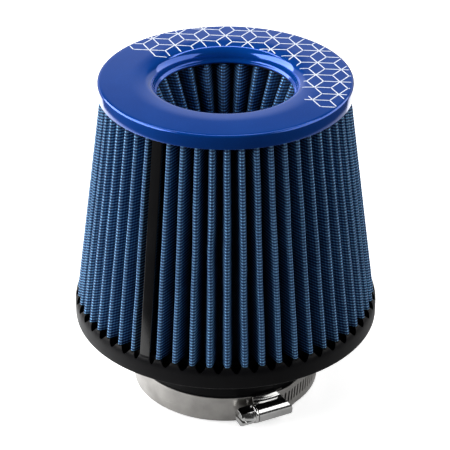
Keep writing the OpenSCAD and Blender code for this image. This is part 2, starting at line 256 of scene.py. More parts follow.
def capped(rows):
    """Points and faces of a bar through rows of points, with a face at each end."""
    steps, count = len(rows), len(rows[0])
    faces = grid_faces(steps, count, wrap_cols=True)
    faces += [list(range(count)), [i + (steps - 1) * count for i in range(count)]]
    return np.array(rows), faces


def stitch(lines, closed=True):
    """Quads between each list of point numbers and the next."""
    faces = []
    for a, b in zip(lines, lines[1:]):
        after = [*range(1, len(a)), 0]
        faces += [[a[i], a[k], b[k], b[i]] for i, k in enumerate(after) if closed or k]
    return faces


def fan(first, count, centre):
    """Triangles from a closed ring of points, numbered from first, to one point at its centre."""
    return [[first + i, first + (i + 1) % count, centre] for i in range(count)]


def new_mesh(name, verts, faces):
    """verts is an array of any shape whose last axis is x, y and z."""
    mesh = bpy.data.meshes.new(name)
    mesh.from_pydata(np.asarray(verts).reshape(-1, 3).tolist(), [], faces)
    return mesh


def face_outward(mesh, weld=False):
    """Turns a mesh's faces outward. weld first makes one point of those that lie together."""
    work = bmesh.new()
    work.from_mesh(mesh)
    if weld:
        bmesh.ops.remove_doubles(work, verts=work.verts, dist=WELD_DISTANCE)
    bmesh.ops.recalc_face_normals(work, faces=work.faces)
    work.to_mesh(mesh)
    work.free()


def add_piece(name, shape, material, body="filter", uv=None, proud=None, sharp=35, weld=True):
    """Makes a piece from its points in metres and its faces. Edges of more than sharp degrees stay hard.
    uv and proud are given for each point of a pleated wall, and proud masks the painted shade in its folds."""
    verts, faces = shape
    mesh = new_mesh(name, verts, faces)
    if uv is not None:
        layer = mesh.uv_layers.new(name="sheet")
        loops = np.empty(len(mesh.loops), int)
        mesh.loops.foreach_get("vertex_index", loops)
        layer.data.foreach_set("uv", uv[loops].ravel())
        mesh.attributes.new("proud", "FLOAT", "POINT").data.foreach_set("value", proud)
    face_outward(mesh, weld)
    mesh.shade_smooth()
    mesh.set_sharp_from_angle(angle=math.radians(sharp))
    mesh.materials.append(material)
    piece = link_new(name, mesh)
    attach(piece, body)
    return piece


def lathe(profile, azimuths, closed=True):
    """Points and faces of a profile of (radius, height) turned round Z at the given azimuths."""
    r, z = np.array(profile).T[:, :, None]
    return at(azimuths, r, z), grid_faces(len(r), len(azimuths), wrap_rows=closed, wrap_cols=True)


def full_turn(count):
    return np.arange(count) * 360 / count


def join(*parts):
    """One list of points and one of faces from several."""
    verts, faces, first = [], [], 0
    for v, f in parts:
        verts.append(np.asarray(v).reshape(-1, 3))
        faces += [[i + first for i in face] for face in f]
        first += len(verts[-1])
    return np.concatenate(verts), faces


# Materials


class Nodes:
    """Adds shader nodes to a tree. A socket given as an input is linked, and any other value is set."""

    def __init__(self, tree):
        self.tree = tree

    def feed(self, socket, value):
        if isinstance(value, bpy.types.NodeSocket):
            self.tree.links.new(value, socket)
        else:
            socket.default_value = value

    def node(self, kind, inputs, out=0, **settings):
        made = self.tree.nodes.new("ShaderNode" + kind)
        for key, value in settings.items():
            setattr(made, key, value)
        for key, value in inputs.items():
            self.feed(made.inputs[key], value)
        return made.outputs[out] if made.outputs else None

    def rays(self):
        """Whether a ray is seen, straight or through glass, and whether it comes off a polished surface."""
        path = self.node("LightPath", {}).node.outputs
        return self.calc("MAXIMUM", path["Is Camera Ray"], path["Is Transmission Ray"]), path["Is Glossy Ray"]

    def calc(self, operation, *values):
        return self.node("Math", dict(enumerate(values)), operation=operation)

    def times(self, a, b):
        return self.calc("MULTIPLY", a, b)

    def scaled(self, vector, factors):
        return self.node("VectorMath", {0: vector, 1: factors}, operation="MULTIPLY")

    def xyz(self, vector):
        return self.node("SeparateXYZ", {0: vector}).node.outputs

    def place(self):
        """The point of the piece's own mesh, in metres."""
        return self.node("TexCoord", {}, out="Object")

    def noise(self, vector, scale, detail, roughness=0.5):
        inputs = {"Vector": vector, "Scale": scale, "Detail": detail, "Roughness": roughness}
        return self.node("TexNoise", inputs)

    def span(self, value, low, high, to_low=0, to_high=1):
        """Moves value from the range low..high to another, and holds it there."""
        inputs = {"Value": value, "From Min": low, "From Max": high, "To Min": to_low, "To Max": to_high}
        return self.node("MapRange", inputs)

    def mix(self, factor, a, b):
        return self.node("Mix", {0: factor, 6: a, 7: b}, out=2, data_type="RGBA")

    def bump(self, height, depth_mm, strength, normal=None):
        inputs = {"Height": height, "Distance": depth_mm * MM, "Strength": strength}
        if normal:
            inputs["Normal"] = normal
        return self.node("Bump", inputs)


class Finish(Nodes):
    """Builds one material."""

    def __init__(self, name):
        self.material = bpy.data.materials.new(name)
        self.material.use_nodes = True
        super().__init__(self.material.node_tree)

    def set(self, **values):
        """Sets the shader's inputs, with underscores for the spaces in their names. Returns the material."""
        for key, value in values.items():
            self.feed(self.tree.nodes["Principled BSDF"].inputs[key.replace("_", " ")], value)
        return self.material


def rgb(r, g, b):
    return (r, g, b, 1)


def media_finish(name, thread, cloth, deep):
    """Blue cotton cloth under a coated net. Threads pass over and under each other."""
    f = Finish(name)
    sheet = f.node("UVMap", {}, uv_map="sheet")
    x, y, _ = f.xyz(sheet)
    u = f.calc("DIVIDE", x, NET_PITCH * MM)
    v = f.calc("DIVIDE", y, NET_PITCH * MM)

    def across(t):
        """1 on the middle of a thread, falling to 0 half a pitch away."""
        wave = f.calc("COSINE", f.times(t, 2 * math.pi))
        return f.calc("MULTIPLY_ADD", wave, 0.5, 0.5)

    weft = f.times(f.span(across(v), 0.5, 0.92), f.calc("MULTIPLY_ADD", across(u), 0.6, 0.45))
    # The warp rises and falls as it passes over and under the weft.
    sway = f.calc("COSINE", f.times(f.calc("ADD", v, f.calc("ROUND", u)), math.pi))
    warp = f.times(f.span(across(u), 0.5, 0.95), f.calc("MULTIPLY_ADD", sway, 0.08, 0.22))
    net = f.calc("MAXIMUM", weft, warp)
    fibre = f.noise(f.scaled(sheet, (2600, 5200, 1)), scale=1, detail=4, roughness=0.7)
    soak = f.noise(f.place(), scale=45, detail=3)
    # Painted shade: deep in the folds the cloth and the wires are painted darker, by the proud share of each
    # point.
    proud = f.node("Attribute", {}, out=2, attribute_name="proud")
    cloth_tone = f.mix(f.span(fibre, 0.35, 0.7), deep, cloth)
    thread_tone = f.mix(f.span(soak, 0.3, 0.7), thread, f.mix(0.75, cloth, thread))
    tone = f.mix(f.span(net, 0.15, 0.85), cloth_tone, thread_tone)
    return f.set(
        Base_Color=f.mix(f.span(proud, 0.1, 1, 0.14, 1), rgb(0, 0.001, 0.006), tone),
        Metallic=f.span(net, 0.3, 0.7, 0, 0.4),
        Roughness=f.span(net, 0.2, 0.8, 0.7, 0.28),
        Specular_IOR_Level=0.5,
        Normal=f.bump(f.calc("ADD", net, f.times(fibre, 0.12)), 0.2, 0.5),
    )


def ring_finish():
    """Blue lacquer over metal under a clear coat, with fine flakes and faint handling marks."""
    f = Finish("ring_paint")
    place = f.place()
    flake = f.node("TexVoronoi", {"Vector": place, "Scale": 2600})
    haze = f.noise(place, scale=60, detail=4)
    tone = f.mix(f.span(haze, 0.3, 0.75), rgb(0.0005, 0.06, 0.36), rgb(0.0008, 0.07, 0.4))
    grain = f.node("SeparateColor", {0: flake.node.outputs["Color"]})
    return f.set(
        Base_Color=f.mix(f.span(grain, 0.8, 1, 0, 0.25), tone, rgb(0.004, 0.1, 0.6)),
        Metallic=0.4,
        Roughness=f.span(haze, 0.3, 0.8, 0.1, 0.14),
        Specular_IOR_Level=0.2,
        Coat_Weight=0.6,
        Coat_Roughness=0.04,
        Normal=f.bump(flake, 0.01, 0.15, f.bump(haze, 0.2, 0.06)),
    )


def print_finish():
    """White ink, a little uneven and chipped at the scale of the paint's grain."""
    f = Finish("print_white")
    cover = f.noise(f.place(), scale=900, detail=3)
    return f.set(
        Base_Color=f.mix(f.span(cover, 0.25, 0.5), rgb(0.55, 0.63, 0.82), rgb(0.82, 0.87, 0.95)),
        Roughness=f.span(cover, 0.3, 0.7, 0.42, 0.55),
        Normal=f.bump(cover, 0.03, 0.5),
    )


def rubber_finish(name, tone, rough, bump_mm, specular):
    """Moulded black rubber: a fine pebble, cloudy gloss and pale patches of dust."""
    f = Finish(name)
    place = f.place()
    pebble = f.noise(place, scale=1900, detail=3, roughness=0.6)
    cloud = f.noise(place, scale=70, detail=4)
    pale = rgb(*(c * 1.7 for c in tone[:3]))
    return f.set(
        Base_Color=f.mix(f.span(cloud, 0.35, 0.8), tone, pale),
        Roughness=f.span(cloud, 0.25, 0.8, rough - 0.06, rough + 0.1),
        Specular_IOR_Level=specular,
        Normal=f.bump(pebble, bump_mm, 0.6, f.bump(cloud, 0.3, 0.2)),
    )


def steel_finish(name, tone, rough, brushed, grain_mm):
    """Stainless steel. brushed is 1 for a strap with a grain round the neck, and 0 for a tumbled pressing."""
    f = Finish(name)
    place = f.place()
    x, y, z = f.xyz(place)
    turn = f.times(f.calc("ARCTAN2", x, y), NECK_R * MM)
    flat = f.node("CombineXYZ", {0: turn, 1: z})
    lines = f.noise(f.scaled(flat, (60, 7000, 1)), scale=1, detail=3, roughness=0.7)
    grit = f.noise(place, scale=1500, detail=4, roughness=0.65)
    marks = f.calc("ADD", f.times(lines, brushed), f.times(grit, 1 - brushed))
    stain = f.noise(place, scale=110, detail=4)
    worn = rgb(*(c * 0.72 for c in tone[:3]))
    return f.set(
        Base_Color=f.mix(f.span(stain, 0.3, 0.72), worn, tone),
        Metallic=1.0,
        Roughness=f.span(marks, 0.3, 0.75, rough, rough * 1.6),
        Normal=f.bump(marks, grain_mm, 0.5),
    )


# Pleated walls


def smooth_bend(corner, before, after, reach, steps):
    """Points of a soft bend at corner, between the lines that come from before and go to after."""
    a = corner + normed(before - corner) * reach
    b = corner + normed(after - corner) * reach
    t = np.linspace(0, 1, steps)[:, None]
    return a * (1 - t) ** 2 + corner * 2 * t * (1 - t) + b * t**2


CREST_STEPS = 9
FLANK_STEPS = 3
TROUGH_STEPS = 5
FOLD_POINTS = CREST_STEPS + TROUGH_STEPS + 2 * (FLANK_STEPS - 1)
# Reach of the soft bends, in the skin at the troughs and in the lining at the crests
SKIN_BEND = 1.6
LINING_BEND = 1.4
# How many rows of points each side of a wall has from foot to head, and how far its crests stray
OUTER_ROWS = 34
INNER_ROWS = 20
LINING_ROWS = 7
OUTER_WOBBLE = 0.22
INNER_WOBBLE = 0.15
# How far the fold at the seam stays inside the strip
SEAM_FOLD_CLEAR = 0.1


def fold_ring(crest_az, crest_r, trough_az, trough_r, t):
    """Skin and lining of a closed ring of folds, as two lists of points in a plane. The angles are azimuths.
    Trough k lies between crest k and crest k + 1. t is the sheet's thickness."""
    n = len(crest_az)
    crest = [(r - t) * unit(az - 90) for az, r in zip(crest_az, crest_r)]
    trough = [(trough_r + t) * unit(az - 90) for az in trough_az]
    skin, lining = [], []

    def flank(a, b):
        return [a + (b - a) * i / FLANK_STEPS for i in range(1, FLANK_STEPS)]

    def normal(circle, point, sign):
        """Angle of the normal of the flank that runs from circle to the point. sign is the circle's side."""
        d = point - circle
        return math.atan2(d[1], d[0]) - sign * math.acos(t / np.linalg.norm(d))

    def touch(circle, point, sign):
        """Where that flank leaves the circle."""
        a = normal(circle, point, sign)
        return circle + t * np.array([math.cos(a), math.sin(a)])

    def turn(circle, a, b, steps):
        turns = max(0, math.ceil((a - b) / (2 * math.pi)))
        angles = np.linspace(a, b + 2 * math.pi * turns, steps)
        return circle + t * np.stack([np.cos(angles), np.sin(angles)], -1)

    for k in range(n):
        before, after = trough[k - 1], trough[k]
        c, following = crest[k], crest[(k + 1) % n]
        top = turn(c, normal(c, before, -1), normal(c, after, 1), CREST_STEPS)
        ahead = touch(following, after, -1)
        bend = smooth_bend(after, top[-1], ahead, SKIN_BEND, TROUGH_STEPS)
        skin += [*top, *flank(top[-1], bend[0]), *bend, *flank(bend[-1], ahead)]
        # The lining turns round the trough's circle, and bends softly at the crest's centre.
        bottom = turn(after, normal(after, following, -1), normal(after, c, 1), TROUGH_STEPS)[::-1]
        under = smooth_bend(c, touch(before, c, -1), bottom[0], LINING_BEND, CREST_STEPS)
        leaves = touch(after, following, -1)
        next_start = following + normed(leaves - following) * LINING_BEND
        lining += [*under, *flank(under[-1], bottom[0]), *bottom, *flank(bottom[-1], next_start)]
    return np.array(skin), np.array(lining)


def pleats(name, low, high, z0, z1, rows, wobble, material, seed, outward=True):
    """A pleated wall between two rings of folds. wobble is how far a crest strays sideways. outward says that
    the wall is seen from outside, with its crests standing proud."""
    rng = np.random.default_rng(seed)
    count = len(low[0])
    folds = count // FOLD_POINTS

    def per_point(values):
        """One value for each point of the closed ring, from one for each fold."""
        return np.append(np.repeat(values, FOLD_POINTS), values[0])

    phase = [per_point(row) for row in rng.uniform(0, 2 * math.pi, (3, folds))]
    size = per_point(rng.uniform(0.4, 1, folds))
    # The crest's points stray the most and the trough's not at all.
    down = 1 - np.arange(1, FLANK_STEPS) / FLANK_STEPS
    share = np.concatenate([np.ones(CREST_STEPS), down, np.zeros(TROUGH_STEPS), down[::-1]])
    share = np.append(np.tile(share, folds), share[0])

    def side(a, b, rows):
        """Points of the skin or the lining, and their places on the sheet laid flat."""
        a, b = (np.concatenate([ring, ring[:1]]) for ring in (a, b))
        h = np.linspace(0, 1, rows)[:, None]
        flat = a[None] * (1 - h[:, :, None]) + b[None] * h[:, :, None]
        wave = np.sin(2 * math.pi * h * 1.3 + phase[0]) + 0.5 * np.sin(2 * math.pi * h * 3.1 + phase[1])
        shift = wobble * size * share * np.sin(math.pi * h) * wave / np.linalg.norm(flat, axis=-1)
        flat = flat + np.stack([-flat[..., 1] * shift, flat[..., 0] * shift], -1)
        heights = np.broadcast_to(z0 + (z1 - z0) * h[:, :, None], (*flat.shape[:2], 1))
        steps = np.linalg.norm(np.diff((a + b) / 2, axis=0), axis=1)
        u = np.concatenate([[0], np.cumsum(steps)])
        slant = math.hypot(z1 - z0, np.linalg.norm(a[0] - b[0]))
        uv = np.stack(np.broadcast_arrays(u[None], h * slant), -1)
        return np.concatenate([flat, heights], -1).reshape(-1, 3) * MM, uv.reshape(-1, 2) * MM

    skin, skin_uv = side(low[0], high[0], rows)
    lining, lining_uv = side(low[1], high[1], LINING_ROWS)
    cols = count + 1
    first = rows * cols
    faces = grid_faces(rows, cols) + grid_faces(LINING_ROWS, cols, first=first)
    for start, inner in ((0, first), ((rows - 1) * cols, first + (LINING_ROWS - 1) * cols)):
        faces += stitch([range(start, start + cols), range(inner, inner + cols)], closed=False)
    shape = (np.concatenate([skin, lining]), faces)
    # proud masks the painted shade in the folds: 1 where a crest stands out towards the viewer, 0 deep in a
    # trough.
    proud = np.tile(share if outward else 1 - share, rows + LINING_ROWS)
    uv = np.concatenate([skin_uv, lining_uv])
    return add_piece(name, shape, material, uv=uv, proud=proud, sharp=60)


def outer_crest_az():
    pitch = (360 - 2 * SEAM_PITCH) / (OUTER_CRESTS - 1)
    return np.array([SEAM_AZ] + [SEAM_AZ + SEAM_PITCH + k * pitch for k in range(OUTER_CRESTS)])


def outer_wall(material):
    crest = outer_crest_az()
    trough = (crest + np.append(crest[1:], crest[0] + 360)) / 2
    rings = []
    for ro in (FOOT_R, HEAD_R):
        radius = np.full(len(crest), ro, float)
        # The fold at the seam is held inside the strip.
        radius[0] = ro - STRIP_FACE_T - SEAM_FOLD_CLEAR
        rings.append(fold_ring(crest, radius, trough, ro - OUTER_DEPTH, OUTER_SHEET_T))
    wall = pleats("outer_pleats", *rings, FLANGE_TOP, WALL_TOP, OUTER_ROWS, OUTER_WOBBLE, material, seed=3)
    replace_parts(wall, "outer_media")


def inner_wall(material):
    pitch = 360 / INNER_CRESTS
    crest = INNER_PHASE + pitch / 2 + np.arange(INNER_CRESTS) * pitch
    rings = [
        fold_ring(crest, np.full(INNER_CRESTS, ri + INNER_DEPTH), crest + pitch / 2, ri, INNER_SHEET_T)
        for ri in (INNER_FOOT_R, INNER_HEAD_R)
    ]
    size = (CONE_Z, INNER_TOP, INNER_ROWS, INNER_WOBBLE)
    wall = pleats("inner_pleats", *rings, *size, material, seed=5, outward=False)
    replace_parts(wall, "inner_media")


# Top ring, its print and its potting


def face_z(r):
    """Height of the ring's face and of the roll beside the opening, at a radius."""
    fall = FACE_FALL * np.clip(1 - (r - ROLL_FROM_R) / FACE_FALL_W, 0, 1) ** 2
    deep = np.clip(OPENING_R + ROLL_R - r, 0, ROLL_R)
    return np.where(r > ROLL_FROM_R, RING_TOP - fall, ROLL_Z + np.sqrt(ROLL_R**2 - deep**2))


def ring_profile():
    """The ring's section: up from the skirt's hem, over the face, down the opening and back underneath."""
    roll = (OPENING_R + ROLL_R, ROLL_Z)
    corner = (RING_R - RING_CORNER_R, RING_TOP - RING_CORNER_R)
    lip = (LIP_R + RING_T, LIP_Z + RING_T)
    # The wall of the opening bends at a knee below the roll, and slants in to the lip.
    knee = (OPENING_R, ROLL_Z - 0.9, 1.5)
    slant_end = (LIP_R + 0.15, LIP_Z + 0.9, 0)
    flat = np.linspace(RING_R - 2, ROLL_FROM_R, 24)
    return [
        *arc((RING_R - RING_T + HEM_R, SKIRT_Z + HEM_R), HEM_R, 180, 270, 3),
        *arc((RING_R - HEM_R, SKIRT_Z + HEM_R), HEM_R, 270, 360, 3),
        *arc(corner, RING_CORNER_R, 0, 90, 10),
        *np.stack([flat, face_z(flat)], -1),
        *arc(roll, ROLL_R, 90 + math.degrees(FACE_SLOPE), 180, 16)[1:],
        *rounded([knee, slant_end, (OPENING_R, RING_TOP, 0)], KNEE_STEPS)[: KNEE_STEPS + 1],
        *arc(lip, RING_T, 150, 260, 8),
        (OPENING_R + RING_T, ROLL_Z),
        *arc(roll, ROLL_R - RING_T, 180, 90, 6),
        *arc(corner, RING_CORNER_R - RING_T, 90, 0, 4),
    ]


def top_ring(material):
    shape = lathe(ring_profile(), full_turn(288))
    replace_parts(add_piece("ring_shell", shape, material, sharp=50), "top_ring")


# The print is a net of cubes. One point in three of its triangular grid has six lines, and the others three.
PRINT_EDGE = 7.49
PRINT_TILT = -5.46
PRINT_ORIGIN = (43.39, 29.03)
PRINT_LINE_W = 0.56
PRINT_LIFT = 0.03
# A line's blunt tips, as shares of its width
PRINT_TIP_WIDE = 0.4
PRINT_TIP_LEN = 0.3
PRINT_OUT_R = 56.7
PRINT_IN_R = 35.4
PRINT_FROM_AZ = 53
PRINT_TO_AZ = 236
# Beside its end at the front right the print keeps further from the opening.
PRINT_END_AZ = 70
PRINT_END_IN_R = 41.4
# Steps of the grid each way from its origin, points tried along a line, and how many of them at least have
# to lie on the print's part of the face
PRINT_REACH = 14
PRINT_POINTS = 60
PRINT_LEAST = 7


def print_lines():
    """The print's lines as pairs of points, cut off at the edge of the flat face."""
    step = math.sqrt(3) * PRINT_EDGE
    up = step * unit(PRINT_TILT + 90)
    across = step * unit(PRINT_TILT + 30)
    places = range(-PRINT_REACH, PRINT_REACH + 1)
    hubs = [np.array(PRINT_ORIGIN) + n * up + m * across for n in places for m in places]
    kept = []
    for hub, k in itertools.product(hubs, range(6)):
        end = hub + PRINT_EDGE * unit(PRINT_TILT + 60 * k)
        azimuths = [math.degrees(math.atan2(p[0], -p[1])) % 360 for p in (hub, end)]
        if not all(PRINT_FROM_AZ < a < PRINT_TO_AZ for a in azimuths):
            continue
        points = hub + (end - hub) * np.linspace(0, 1, PRINT_POINTS)[:, None]
        radii = np.linalg.norm(points, axis=1)
        limit = PRINT_END_IN_R if min(azimuths) < PRINT_END_AZ else PRINT_IN_R
        inside = points[(radii < PRINT_OUT_R) & (radii > limit)]
        if len(inside) >= PRINT_LEAST:
            kept.append((inside[0], inside[-1]))
    return kept


def ring_print(material):
    """Each line is a thin strip that follows the face, with a blunt tip at both ends."""
    parts = []
    steps = 10
    wide = np.ones((steps, 1))
    wide[[0, -1]] = PRINT_TIP_WIDE
    corners = ((1, PRINT_LIFT), (-1, PRINT_LIFT), (-1, -PRINT_LIFT), (1, -PRINT_LIFT))
    for a, b in print_lines():
        along = normed(b - a)
        side = np.array([-along[1], along[0]]) * PRINT_LINE_W / 2
        tip = along * PRINT_LINE_W * PRINT_TIP_LEN
        middle = a - tip + (b - a + 2 * tip) * np.linspace(0, 1, steps)[:, None]
        edges = []
        for sign, lift in corners:
            flat = middle + sign * side * wide
            edges.append(np.column_stack([flat, face_z(np.linalg.norm(flat, axis=1)) + lift]))
        parts.append(capped(np.stack(edges, 1) * MM))
    add_piece("ring_print", join(*parts), material, weld=False)


def potting(material):
    step_r = (INNER_HEAD_R + INNER_DEPTH + HEAD_R - OUTER_DEPTH) / 2
    soft = 0.6
    under_roll = arc((OPENING_R + ROLL_R, ROLL_Z), ROLL_R - RING_T, 90, 180, 6)
    outline = [
        (RING_R - RING_T, WALL_TOP, 0.3),
        (RING_R - RING_T, RING_TOP - RING_T, 0.6),
        *[(*p, 0) for p in under_roll],
        (LIP_R + RING_T, LIP_Z + 0.1, 0),
        (LIP_R + 0.3, INNER_TOP, 0.2),
        (step_r, INNER_TOP, soft),
        (step_r, WALL_TOP, soft),
    ]
    shape = lathe(rounded(outline), full_turn(144))
    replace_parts(add_piece("ring_filling", shape, material), "top_potting")


def end_cap(material):
    out = INNER_FOOT_R + INNER_DEPTH + CAP_MARGIN
    rim = INNER_FOOT_R - 0.2
    profile = [
        (0, CONE_Z - CAP_T + 0.8),
        (out * 0.55, CONE_Z - CAP_T + 0.8),
        (out * 0.62, CONE_Z - CAP_T),
        *arc((out - CAP_T / 2, CONE_Z - CAP_T / 2), CAP_T / 2, -90, 90, 12),
        (rim, CONE_Z),
        *arc((rim - 0.8, CONE_Z + CAP_BOSS_H - 0.8), 0.8, 0, 90, 5),
        (rim * 0.55, CONE_Z + CAP_BOSS_H - 0.2),
        (0, CONE_Z + CAP_BOSS_H - 0.4),
    ]
    shape = lathe(profile, full_turn(96), closed=False)
    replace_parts(add_piece("cone_cap", shape, material), "inner_end_cap")


# Seam strip


def seam_strip(material):
    """The clip's section, with x out from the wall and y along it, drawn up the slope of the crests."""
    slope = math.atan((FOOT_R - HEAD_R) / (WALL_TOP - FLANGE_TOP))
    side = STRIP_W / 2
    gap = STRIP_GAP / 2
    half = [(0, side, 0.45), (-STRIP_LEG, side, 0.3), (-STRIP_LEG, gap, 0.3), (-STRIP_FACE_T, gap, 0)]
    outline = rounded(half + [(x, -y, radius) for x, y, radius in half[::-1]])
    x, y = np.array(outline).T
    low = -x * math.tan(slope)
    high = (WALL_TOP - FLANGE_TOP - x * math.sin(slope)) / math.cos(slope)
    rows = []
    for t in np.linspace(0, 1, 30):
        w = low + (high - low) * t
        out = FOOT_R + x * math.cos(slope) - w * math.sin(slope)
        z = FLANGE_TOP + x * math.sin(slope) + w * math.cos(slope)
        rows.append(turned_to(SEAM_AZ, out, y, z))
    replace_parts(add_piece("seam_bar", capped(rows), material), "seam_strip")


# Moulded base

# Border points on each side of a cell, the radius where the cells end, and the softness of a pocket's edge
CELL_SIDE = 8
ZONE_IN_R = 63.5
EDGE_SOFT = 0.22
# How far a pocket's soft edge and its wall stay inside the rim
EDGE_CLEAR = 0.12
WALL_CLEAR = 0.15


def rim_line():
    """The flange's top from its equator in to ZONE_IN_R, as (distance along it, radius, height)."""
    centre = (FLANGE_R - RIM_ROUND_W, FLANGE_TOP - RIM_ROUND_H)
    turn = np.radians(np.linspace(0, 90, 60))
    r = np.append(centre[0] + RIM_ROUND_W * np.cos(turn), ZONE_IN_R)
    z = np.append(centre[1] + RIM_ROUND_H * np.sin(turn), FLANGE_TOP)
    s = np.concatenate([[0], np.cumsum(np.hypot(np.diff(r), np.diff(z)))])
    return s, r, z


def pocket_cell(az0, az1, pocket_az, pocket_r, radius):
    """Points and faces of one piece of the flange's top, between two azimuths, with its pocket.
    The first 4 * CELL_SIDE points are its border, from the outer corner at az0."""
    line_s, line_r, line_z = rim_line()
    total = line_s[-1]

    def s_of(r):
        return np.interp(r, line_r[::-1], line_s[::-1])

    def point(s, az):
        return at(az, np.interp(s, line_s, line_r), np.interp(s, line_s, line_z))

    t = np.arange(4 * CELL_SIDE) / CELL_SIDE
    border_s = np.interp(t, range(5), (0, 0, total, total, 0))
    border_az = np.interp(t, range(5), (az0, az1, az1, az0, az0))
    # Each border point is joined to the point of the pocket's edge that lies in its direction.
    per_degree = math.radians(1) * pocket_r
    away_r = np.interp(border_s, line_s, line_r) - pocket_r
    away_y = (border_az - pocket_az) * per_degree
    angle = np.arctan2(away_y, away_r)

    def circle(rho):
        r = pocket_r + rho * np.cos(angle)
        return r, pocket_az + rho * np.sin(angle) / per_degree

    rings = []
    edge_r, edge_az = circle(radius + EDGE_SOFT)
    edge_r = np.minimum(edge_r, FLANGE_R - EDGE_CLEAR)
    for share in (0, 0.3, 0.6, 0.85, 1):
        s = border_s + (s_of(edge_r) - border_s) * share
        rings.append(point(s, border_az + (edge_az - border_az) * share))
    top = np.interp(s_of(edge_r), line_s, line_z)
    floor = FLANGE_TOP - POCKET_DEPTH
    wall = ((radius + 0.06, top - 0.06), (radius, top - EDGE_SOFT), (radius, floor + 0.7))
    bottom = ((radius - 0.2, floor + 0.2), (radius - 0.7, floor), (radius / 3, floor))
    for rho, z in wall + bottom:
        r, az = circle(rho)
        rings.append(at(az, np.minimum(r, FLANGE_R - WALL_CLEAR), z))
    count = len(angle)
    verts = np.concatenate([*rings, at(pocket_az, pocket_r, floor)[None]])
    last = (len(rings) - 1) * count
    return verts, grid_faces(len(rings), count, wrap_cols=True) + fan(last, count, last + count)


def rubber_pad(az, width):
    """A pad at the rim under one fold, with a round top edge. The seam's wide one keeps its width on top."""
    top = FLANGE_TOP - 0.1
    outline = np.array(rounded([(x * width, y * PAD_R, PAD_R - 0.1) for x, y in BOX_CORNERS], 6))
    rows = []
    foot = FLANGE_TOP - RIM_ROUND_H
    for grow, z in ((1, foot), (1, top - 0.5), (0.95, top - 0.2), (0.82, top - 0.04), (0.6, top)):
        y, x = (outline * [1 if width > PAD_R else grow, grow]).T
        rows.append(turned_to(az, FOOT_R + PAD_OUT - PAD_R + x, y, z))
    return capped(rows)


def base(material):
    crest = outer_crest_az()
    ends = np.append(crest, crest[0] + 360)
    azimuths = np.interp(np.arange(0, len(crest), 1 / CELL_SIDE), range(len(ends)), ends)
    parts = []
    seam_off = (STRIP_W / 2 + FOOT_R * math.sin(math.radians(SEAM_PITCH)) - OUTER_SHEET_T) / 2
    for k, (az0, az1) in enumerate(zip(ends, ends[1:])):
        beside_seam = k in (0, len(crest) - 1)
        radius = SEAM_POCKET_R if beside_seam else POCKET_R
        pocket_r = FLANGE_R - POCKET_WEB - radius
        pocket_az = (az0 + az1) / 2
        if beside_seam:
            off = math.degrees(seam_off / pocket_r)
            pocket_az = az0 + off if k == 0 else az1 - off
        parts.append(pocket_cell(az0, az1, pocket_az, pocket_r, radius))
    # Four of the points lie on straight runs and only break them up.
    profile = [
        (ZONE_IN_R, FLANGE_TOP),
        (55, FLANGE_TOP),
        *arc((BORE_R + MOUTH_R, FLANGE_TOP - MOUTH_R), MOUTH_R, 90, 180, 10),
        (BORE_R, 20),
        *arc((BORE_R + 0.5, 0.5), 0.5, 180, 270, 4),
        *arc((NECK_R - NECK_CHAMFER, NECK_CHAMFER), NECK_CHAMFER, 270, 360, 5),
        (NECK_R, 16),
        *arc((NECK_R + NECK_FILLET, NECK_LEN - NECK_FILLET), NECK_FILLET, 180, 90, 10),
        (60, NECK_LEN),
        *arc((FLANGE_R - RIM_CHAMFER, NECK_LEN + RIM_CHAMFER), RIM_CHAMFER, 270, 360, 5),
        (FLANGE_R, FLANGE_TOP - RIM_ROUND_H),
    ]
    parts.append(lathe(profile, azimuths, closed=False))
    body = add_piece("base_moulding", join(*parts), material, sharp=48)
    pads = [rubber_pad(az, PAD_R) for az in crest[1:]] + [rubber_pad(crest[0], STRIP_W / 2)]
    add_piece("base_pads", join(*pads), material, sharp=48)
    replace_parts(body, "base")


# Clamp


def clamp_point(x, y, z):
    """Points given in the clamp's own frame: x out from the neck's axis, y along the screw, and z up from the
    middle of the strap."""
    return turned_to(CLAMP_AZ, x, y, BAND_MID_Z + z)


def band_radius(az):
    """Inner radius of the strap along its path, from its slotted tail over the saddle down on to the neck."""
    exit_az = CLAMP_AZ + HOUSING_HALF_AZ + END_IN_AZ
    t = np.clip((az - exit_az) / RAMP_AZ, 0, 1)
    return TAIL_R - (TAIL_R - NECK_R) * (1 - np.cos(np.pi * t)) / 2


# Columns of the strap's grid under each slot, the slots' height over its middle, and their roundness, where 0
# is a box and 1 an ellipse
SLOT_COLS = 4
SLOT_RISE = 0.35
SLOT_ROUNDNESS = 0.45
BAND_EDGE = 0.25


def slot_rings(middle_az, azimuths, heights):
    """Rings of points from a slot's border in the strap's face, over its soft rim, through to the back."""
    away = np.stack([np.radians(azimuths - middle_az) * TAIL_R, heights - BAND_MID_Z], -1)
    # The slot's outline is a long rounded box. Each border point meets it in its own direction, as seen when
    # both are stretched to a square.
    square = away / np.abs(away).max(axis=0)
    angle = np.arctan2(square[:, 1], square[:, 0])
    box = np.stack([np.cos(angle), np.sin(angle)], -1)
    box = np.sign(box) * np.abs(box) ** SLOT_ROUNDNESS
    box = box / np.abs(box).max()
    across, along = unit(SLOT_LEAN)
    rings = []
    for grow, depth in ((0.12, 0), (0.03, 0.04), (0, 0.12), (0, BAND_T - 0.1), (0.1, BAND_T)):
        x, y = (box * [SLOT_W / 2 + grow, SLOT_LEN / 2 + grow]).T
        u = x * across + y * along
        w = y * across - x * along
        slot_az = middle_az + np.degrees(u / TAIL_R)
        rings.append(at(slot_az, band_radius(slot_az) + BAND_T - depth, BAND_MID_Z + SLOT_RISE + w))
    return rings


